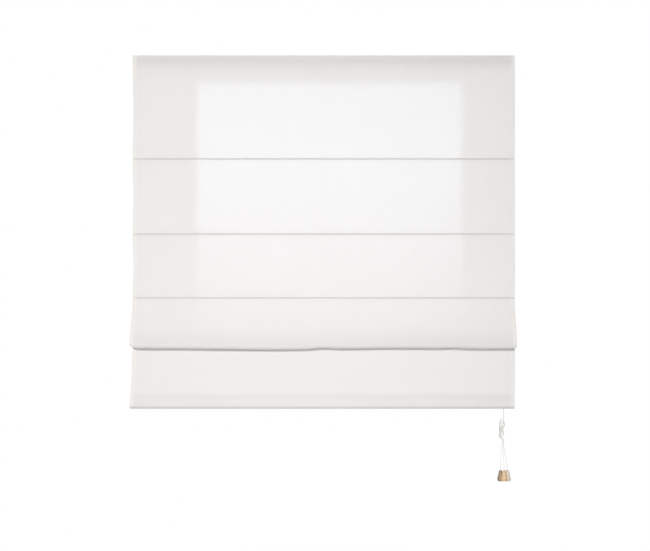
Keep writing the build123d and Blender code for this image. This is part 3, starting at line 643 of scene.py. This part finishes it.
# sewing thread: glossy spun polyester, a shade whiter than the cloth
thread = {"colour": "#FAF9F7", "radius": 0.24 * mm, "stitch": 2.7 * mm, "pitch": 3.6 * mm,
          "hemLine": 9.5 * mm, "twist": 0.5 * mm, "roughness": 0.5, "sheen": 0.2, "bump": 0.4,
          "relief": 0.05 * mm, "endIn": 0.5, "endOut": 0.7, "proud": 0.3}


def makeThread():
    material, tree, shader = newMaterial("spunThread", thread["roughness"], thread["colour"],
                                         Sheen_Weight=thread["sheen"])
    place = node(tree, "ShaderNodeTexCoord").outputs["Object"]
    bands = {"bands_direction": "DIAGONAL", "Scale": waveScale(thread["twist"], slantWave)}
    twist = node(tree, "ShaderNodeTexWave", bands, Vector=place)
    bump = node(tree, "ShaderNodeBump", {"Strength": thread["bump"], "Distance": thread["relief"]},
                Height=twist.outputs[1])
    tree.links.new(bump.outputs[0], shader.inputs["Normal"])
    return material


threadMaterial = makeThread()


def makeStitch():
    # a short thread lying along z, its ends drawn in
    deselectAll()
    bpy.ops.mesh.primitive_cylinder_add(vertices=6, radius=thread["radius"], depth=thread["stitch"])
    stitch = bpy.context.object
    bpy.ops.object.mode_set(mode="EDIT")
    bpy.ops.mesh.select_mode(type="FACE")
    bpy.ops.mesh.select_all(action="DESELECT")
    bpy.ops.object.mode_set(mode="OBJECT")
    for face in stitch.data.polygons:
        face.select = abs(face.normal.z) > 0.9
    bpy.ops.object.mode_set(mode="EDIT")
    bpy.ops.mesh.inset(thickness=thread["endIn"] * thread["radius"],
                       depth=thread["endOut"] * thread["radius"], use_individual=True)
    bpy.ops.object.mode_set(mode="OBJECT")
    bpy.ops.object.shade_smooth()
    return stitch


def stitchPlacings(points):
    # one stitch each pitch along the points, each point a place on the face with its outward direction
    placings, carry = [], thread["pitch"] / 2
    for (start, out), (end, _) in zip(points, points[1:]):
        along = end - start
        run = along.length
        while carry < run:
            direction = along.normalized()
            across = direction.cross(out).normalized()
            turn = Matrix((across, direction.cross(across), direction)).transposed().to_4x4()
            placings.append(Matrix.Translation(start + direction * carry) @ turn)
            carry += thread["pitch"]
        carry -= run
    return placings


def facePoint(x, row):
    out = Vector((0, math.sin(row[2]), -math.cos(row[2])))
    return clothPoint(x, 0, row) + out * (clothThickness / 2 + thread["proud"] * thread["radius"]), out


def makeStitches():
    stitch = makeStitch()
    placings = []
    for x in (thread["hemLine"] - halfWidth, halfWidth - thread["hemLine"]):
        run = []
        for row in clothRows(x):
            if row[4] in ("head", "panel", "fold", "last", "hemFace"):
                run.append(facePoint(x, row))
            else:
                placings += stitchPlacings(run)
                run = []
    headRows = [row for row in clothRows(0) if row[4] == "head"]
    headRow = min(headRows, key=lambda row: abs(clothHigh.z - row[1] - cloth["stitchDown"]))
    ends = [facePoint(side * (halfWidth - thread["hemLine"]), headRow) for side in (-1, 1)]
    placings += stitchPlacings(ends)
    piece = joinCopies(stitch, "clothStitches", placings)
    bpy.data.objects.remove(stitch)
    piece.data.materials.append(threadMaterial)
    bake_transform(piece)
    print("stitches sewn:", len(placings))
    return piece


stitchPiece = makeStitches()

# three loops of thread sew each ring to the back of a rod's tuck
ringTies = {"reach": 1.9 * mm, "rise": 1.3 * mm, "thread": 0.22 * mm, "spread": 0.75 * mm,
            "ringRadius": 5.0 * mm, "seat": 0.5 * mm, "lean": 9, "splay": 14}


def makeRingTies():
    deselectAll()
    bpy.ops.mesh.primitive_torus_add(major_radius=ringTies["rise"], minor_radius=ringTies["thread"],
                                     major_segments=16, minor_segments=6, rotation=(0, math.radians(90), 0))
    loop = bpy.context.object
    bpy.ops.object.transform_apply(location=True, rotation=True, scale=True)
    bpy.ops.object.mode_set(mode="EDIT")
    bpy.ops.mesh.select_all(action="SELECT")
    bpy.ops.transform.resize(value=(1, ringTies["reach"] / ringTies["rise"], 1), center_override=(0, 0, 0))
    bpy.ops.object.mode_set(mode="OBJECT")
    bpy.ops.object.shade_smooth()
    for n, level in zip((1, 2, 3, 4), rodLevels):
        placings = []
        for x in cordPlaces:
            for i in (-1, 0, 1):
                y = laneY - ringTies["ringRadius"] - ringTies["seat"]
                place = Matrix.Translation(Vector((x + i * ringTies["spread"], y, level)))
                lean = Matrix.Rotation(math.radians(ringTies["lean"] * i), 4, "Y")
                splay = Matrix.Rotation(math.radians(ringTies["splay"] * i), 4, "Z")
                placings.append(place @ lean @ splay)
        ties = joinCopies(loop, f"ringTies{n}", placings)
        ties.data.materials.append(threadMaterial)
        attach(ties, f"rod_{n}" if n < 4 else "lift")
    bpy.data.objects.remove(loop)


makeRingTies()
print("rings sewn on")

# lift cords: straight round cords, each in many short steps along its length
liftCords = {"radius": 0.9 * mm, "sides": 12, "steps": 96}


def makeLiftCord(side, x):
    low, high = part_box(f"lift_cord_{side}")
    top, bottom = high[2], low[2]
    deselectAll()
    bpy.ops.mesh.primitive_cylinder_add(vertices=liftCords["sides"], radius=liftCords["radius"],
                                        depth=top - bottom)
    piece = bpy.context.object
    piece.name = f"liftCord{side.title()}"
    bpy.ops.object.mode_set(mode="EDIT")
    bpy.ops.mesh.select_mode(type="EDGE")
    bpy.ops.mesh.select_all(action="DESELECT")
    bpy.ops.object.mode_set(mode="OBJECT")
    for edge in piece.data.edges:
        ends = [piece.data.vertices[v].co.z for v in edge.vertices]
        edge.select = abs(ends[0] - ends[1]) > liftCords["radius"]
    bpy.ops.object.mode_set(mode="EDIT")
    bpy.ops.mesh.subdivide(number_cuts=liftCords["steps"] - 1)
    bpy.ops.mesh.select_all(action="SELECT")
    bpy.ops.transform.translate(value=(x, laneY, (top + bottom) / 2))
    bpy.ops.object.mode_set(mode="OBJECT")
    applyModifiers(piece)
    piece.data.materials.append(braidMaterial)
    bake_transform(piece)
    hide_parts(f"lift_cord_{side}")


for cordSide, cordX in zip(cordSides, cordPlaces):
    makeLiftCord(cordSide, cordX)
paint(braidMaterial, *[f"rail_cord_{side}" for side in cordSides])
print("lift cords hung")

# powder-coated aluminium: satin white with the fine orange peel of a baked coat
powderCoat = {"colour": "#F2F2F0", "size": 0.9 * mm, "roughness": 0.42, "bump": 0.12}
# moulded nylon: milky, half matt, with a faint flow mottle
nylon = {"colour": "#EFEEE9", "shade": "#E3E1DA", "size": 4 * mm, "roughness": 0.45, "bump": 0.08,
         "inside": 0.05}
# turned acetal: harder and glossier, slightly warm
acetal = {"colour": "#F3F0E6", "size": 0.5 * mm, "roughness": 0.28, "bump": 0.05}
# moulded ring plastic: glossy and a little see-through
ringPlastic = {"colour": "#F4F4F2", "size": 2 * mm, "roughness": 0.2, "bump": 0.04, "through": 0.15}
# ABS: even gloss with a soft moulded skin
absPlastic = {"colour": "#F1F1EF", "size": 1.2 * mm, "roughness": 0.3, "bump": 0.06}
# zinc-plated steel: pale grey metal with cloudy plating and fine rolling lines
zinc = {"colour": "#C3C6C8", "cloud": 7 * mm, "line": 0.8 * mm, "lineShare": 0.04, "roughness": 0.36,
        "glossy": 0.26, "dull": 0.5, "bump": 0.15, "relief": 0.05 * mm}
# pulled glass fibre: off-white rod, strands running along it
glassFibre = {"colour": "#EDE9DA", "shade": "#D9D3BF", "strand": 0.7 * mm, "run": 60 * mm,
              "roughness": 0.32, "bump": 0.2, "relief": 0.05 * mm}
# woven nylon tape with its pile of hooks or loops
tapeWeave = {"colour": "#EEEEEB", "shade": "#D5D5D1", "size": 0.9 * mm, "roughness": 0.9, "bump": 0.9}
plainRelief = 0.1 * mm
plainGloss = 0.06


def makePlain(name, look, **sockets):
    # one colour clouded with another over the given size, and a bump of that size
    roughness = look["roughness"]
    material, tree, shader = newMaterial(name, roughness, look["colour"], **sockets)
    place = node(tree, "ShaderNodeTexCoord").outputs["Object"]
    spots = node(tree, "ShaderNodeTexNoise", {"Scale": 1 / look["size"], "Detail": 3.0}, Vector=place)
    tone = node(tree, "ShaderNodeMix", {"data_type": "RGBA"}, Factor=spots.outputs[0],
                in6=linear(look["colour"]), in7=linear(look.get("shade", look["colour"])))
    tree.links.new(tone.outputs[2], shader.inputs["Base Color"])
    glosses = {"To Min": roughness - plainGloss, "To Max": roughness + plainGloss}
    gloss = node(tree, "ShaderNodeMapRange", glosses, Value=spots.outputs[0])
    tree.links.new(gloss.outputs[0], shader.inputs["Roughness"])
    bump = node(tree, "ShaderNodeBump", {"Strength": look["bump"], "Distance": plainRelief},
                Height=spots.outputs[0])
    tree.links.new(bump.outputs[0], shader.inputs["Normal"])
    return material


def makeZinc():
    material, tree, shader = newMaterial("zincPlatedSteel", zinc["roughness"], zinc["colour"], Metallic=1.0)
    place = node(tree, "ShaderNodeTexCoord").outputs["Object"]
    clouds = node(tree, "ShaderNodeTexNoise", {"Scale": 1 / zinc["cloud"], "Detail": 5.0}, Vector=place)
    gloss = node(tree, "ShaderNodeMapRange", {"To Min": zinc["glossy"], "To Max": zinc["dull"]},
                 Value=clouds.outputs[0])
    tree.links.new(gloss.outputs[0], shader.inputs["Roughness"])
    along, across = zinc["lineShare"] / zinc["line"], 1 / zinc["line"]
    rolled = node(tree, "ShaderNodeMapping", {"Scale": (along, across, across)}, Vector=place)
    lines = node(tree, "ShaderNodeTexNoise", {"Scale": 1.0, "Detail": 2.0}, Vector=rolled.outputs[0])
    bump = node(tree, "ShaderNodeBump", {"Strength": zinc["bump"], "Distance": zinc["relief"]},
                Height=lines.outputs[0])
    tree.links.new(bump.outputs[0], shader.inputs["Normal"])
    return material


def makeGlassFibre():
    material, tree, shader = newMaterial("pulledGlassFibre", glassFibre["roughness"], glassFibre["colour"])
    place = node(tree, "ShaderNodeTexCoord").outputs["Object"]
    along, across = 1 / glassFibre["run"], 1 / glassFibre["strand"]
    drawn = node(tree, "ShaderNodeMapping", {"Scale": (along, across, across)}, Vector=place)
    strands = node(tree, "ShaderNodeTexNoise", {"Scale": 1.0, "Detail": 3.0}, Vector=drawn.outputs[0])
    tone = node(tree, "ShaderNodeMix", {"data_type": "RGBA"}, Factor=strands.outputs[0],
                in6=linear(glassFibre["colour"]), in7=linear(glassFibre["shade"]))
    tree.links.new(tone.outputs[2], shader.inputs["Base Color"])
    bump = node(tree, "ShaderNodeBump", {"Strength": glassFibre["bump"], "Distance": glassFibre["relief"]},
                Height=strands.outputs[0])
    tree.links.new(bump.outputs[0], shader.inputs["Normal"])
    return material


paint(makePlain("powderCoatedAluminium", powderCoat), "headrail", "bottom_bar")
paint(makePlain("mouldedNylon", nylon, Subsurface_Weight=nylon["inside"]), "end_cap_left", "end_cap_right",
      "lock_housing", "bar_caps", "cord_stops", *[f"carrier_{side}" for side in cordSides],
      *[f"latch_{side}" for side in cordSides], *[f"rod_tips_{n}" for n in (1, 2, 3, 4)])
paint(makePlain("turnedAcetal", acetal), "lock_roller", "lock_cam", *[f"pulley_{side}" for side in cordSides])
paint(makePlain("ringPlastic", ringPlastic, Transmission_Weight=ringPlastic["through"]),
      *[f"rings_{n}" for n in (1, 2, 3, 4)])
paint(makePlain("mouldedAbs", absPlastic), "cleat")
paint(makeZinc(), "pulley_pins", "roller_pin", "cam_pin", *[f"bracket_{side}" for side in cordSides])
paint(makeGlassFibre(), *[f"rod_{n}" for n in (1, 2, 3, 4)])
paint(makePlain("pileTape", tapeWeave), "hook_tape", "loop_tape")
print("rail, rods and fittings painted")

# turned beech: fine straight grain, short dark rays, thin satin lacquer; no two tassels of one colour, partly
# in the wood and partly painted: the left one darker as painted shade, the right one paler as painted light
beech = {"grain": 1.6 * mm, "growth": 26 * mm, "ray": 0.45 * mm, "rayLong": 2.6 * mm, "rayColour": "#7A5A3A",
         "rayFrom": 0.64, "rayTo": 0.72, "rayShare": 0.35, "wander": 0.4, "roughness": 0.45, "lacquer": 0.15,
         "lacquerRoughness": 0.35, "bump": 0.15, "relief": 0.08 * mm,
         # painted shade in the left tassel's tones, painted light in the right one's
         "tones": {"left": ("#8C7558", "#A89072"), "middle": ("#D3AE86", "#E8C8A4"),
                   "right": ("#D8C7AC", "#EDE4D3")}}


def makeBeech(side):
    dark, pale = beech["tones"][side]
    material, tree, shader = newMaterial(f"turnedBeech{side.title()}", beech["roughness"], pale,
                                         Coat_Weight=beech["lacquer"],
                                         Coat_Roughness=beech["lacquerRoughness"])
    place = node(tree, "ShaderNodeTexCoord").outputs["Object"]
    across, along = 1 / beech["grain"], 1 / beech["growth"]
    drawn = node(tree, "ShaderNodeMapping", {"Scale": (across, across, along)}, Vector=place)
    grain = node(tree, "ShaderNodeTexNoise", {"Scale": 1.0, "Detail": 4.0, "Distortion": beech["wander"]},
                 Vector=drawn.outputs[0])
    tone = node(tree, "ShaderNodeMix", {"data_type": "RGBA"}, Factor=grain.outputs[0], in6=linear(dark),
                in7=linear(pale))
    across, along = 1 / beech["ray"], 1 / beech["rayLong"]
    short = node(tree, "ShaderNodeMapping", {"Scale": (across, across, along)}, Vector=place)
    rays = node(tree, "ShaderNodeTexNoise", {"Scale": 1.0, "Detail": 1.0}, Vector=short.outputs[0])
    marks = {"From Min": beech["rayFrom"], "From Max": beech["rayTo"], "To Max": beech["rayShare"]}
    flecks = node(tree, "ShaderNodeMapRange", marks, Value=rays.outputs[0])
    wood = node(tree, "ShaderNodeMix", {"data_type": "RGBA"}, Factor=flecks.outputs[0], in6=tone.outputs[2],
                in7=linear(beech["rayColour"]))
    tree.links.new(wood.outputs[2], shader.inputs["Base Color"])
    bump = node(tree, "ShaderNodeBump", {"Strength": beech["bump"], "Distance": beech["relief"]},
                Height=grain.outputs[0])
    tree.links.new(bump.outputs[0], shader.inputs["Normal"])
    return material


for tasselSide in ("left", "middle", "right"):
    paint(makeBeech(tasselSide), f"tassel_{tasselSide}")
print("tassels painted")

# light: soft from the front, weaker from behind, white all round, and daylight behind the upper cloth
light = {"world": 0.3, "fillPower": 9, "fillSize": 1.4, "fillFrom": (1.5, 2.5, 0.2), "frontPower": 61,
         "frontSize": 0.7, "frontFrom": (-1.02, -5.74, 1.42), "frontSpread": 90, "dayPower": 1.8,
         "dayColour": "#E8F2FF", "daySpread": 55, "dayFoot": 0.15, "dayFull": 0.65,
         "dayLeft": 197, "dayRight": 462, "dayTop": 83, "dayBottom": 330, "dayBehind": 10 * mm}


def makeWorld():
    world = bpy.data.worlds.new("whiteRoom")
    scene.world = world
    world.use_nodes = True
    tree = world.node_tree
    ground = tree.nodes["Background"]
    ground.inputs["Color"].default_value = (1, 1, 1, 1)
    path = node(tree, "ShaderNodeLightPath")
    seen = node(tree, "ShaderNodeMath", {"operation": "MAXIMUM"}, in0=path.outputs["Is Camera Ray"],
                in1=path.outputs["Is Glossy Ray"])
    seen = node(tree, "ShaderNodeMath", {"operation": "MAXIMUM"}, in0=seen.outputs[0],
                in1=path.outputs["Is Transmission Ray"])
    strength = node(tree, "ShaderNodeMapRange", {"To Min": light["world"], "To Max": 1.0},
                    Value=seen.outputs[0])
    tree.links.new(strength.outputs[0], ground.inputs["Strength"])


def areaLamp(name, power, size, place, aim):
    lamp = bpy.data.lights.new(name, "AREA")
    lamp.shape = "RECTANGLE"
    lamp.size, lamp.size_y = size
    lamp.energy = power
    holder = bpy.data.objects.new(name, lamp)
    scene.collection.objects.link(holder)
    holder.location = place
    holder.rotation_euler = (Vector(aim) - Vector(place)).to_track_quat("-Z", "Y").to_euler()
    holder.visible_camera = False
    return lamp


def makeLamps():
    middle = Vector((0, clothY, (clothHigh.z + clothLow.z) / 2))
    foot = Vector((0, clothY, clothLow.z))
    lamp = areaLamp("frontSoft", light["frontPower"], (light["frontSize"], light["frontSize"]),
                    middle + Vector(light["frontFrom"]), foot)
    lamp.spread = math.radians(light["frontSpread"])
    areaLamp("backFill", light["fillPower"], (light["fillSize"], light["fillSize"]),
             middle + Vector(light["fillFrom"]), middle)
    left = (light["dayLeft"] - view["clothX"]) * view["pixel"]
    right = (light["dayRight"] - view["clothX"]) * view["pixel"]
    top = clothHigh.z - (light["dayTop"] - view["clothTop"]) * view["pixel"]
    bottom = clothHigh.z - (light["dayBottom"] - view["clothTop"]) * view["pixel"]
    place = Vector(((left + right) / 2, light["dayBehind"], (top + bottom) / 2))
    lamp = areaLamp("daylight", light["dayPower"], (right - left, top - bottom), place,
                    place - Vector((0, 1, 0)))
    lamp.color = linear(light["dayColour"])[:3]
    lamp.spread = math.radians(light["daySpread"])
    lamp.use_nodes = True
    tree = lamp.node_tree
    across = node(tree, "ShaderNodeNewGeometry").outputs["Parametric"]
    split = node(tree, "ShaderNodeSeparateXYZ", Vector=across)
    fade = node(tree, "ShaderNodeMapRange", {"From Max": light["dayFull"], "To Min": light["dayFoot"]},
                Value=split.outputs[1])
    tree.links.new(fade.outputs[0], tree.nodes["Emission"].inputs["Strength"])


# pale floor: white to the camera except for a faint shadow
floorLook = {"size": 12, "below": 0.45, "shadow": 0.3, "near": 0.15, "far": 0.62, "spread": (0.4, 1, 0),
             "colour": "#F6F6F6", "roughness": 0.9}


def makeFloor():
    deselectAll()
    bpy.ops.mesh.primitive_plane_add(size=floorLook["size"])
    floor = bpy.context.object
    floor.name = "paleFloor"
    for vertex in floor.data.vertices:
        vertex.co.z = cadBox[0][2] - floorLook["below"]
    material, tree, shader = newMaterial("paleFloor", floorLook["roughness"], floorLook["colour"])
    glow = node(tree, "ShaderNodeEmission", {"Strength": 1.0})
    path = node(tree, "ShaderNodeLightPath")
    place = node(tree, "ShaderNodeTexCoord").outputs["Object"]
    flat = node(tree, "ShaderNodeMapping", {"Scale": floorLook["spread"]}, Vector=place)
    reach = node(tree, "ShaderNodeVectorMath", {"operation": "LENGTH"}, in0=flat.outputs[0])
    fade = {"From Min": floorLook["near"], "From Max": floorLook["far"], "To Min": 1 - floorLook["shadow"]}
    white = node(tree, "ShaderNodeMapRange", fade, Value=reach.outputs["Value"])
    seen = node(tree, "ShaderNodeMath", {"operation": "MULTIPLY"}, in0=path.outputs["Is Camera Ray"],
                in1=white.outputs[0])
    mix = node(tree, "ShaderNodeMixShader", in0=seen.outputs[0], in1=shader.outputs[0], in2=glow.outputs[0])
    tree.links.new(mix.outputs[0], tree.nodes["Material Output"].inputs["Surface"])
    floor.data.materials.append(material)


makeWorld()
makeLamps()
makeFloor()
print("light and floor ready")
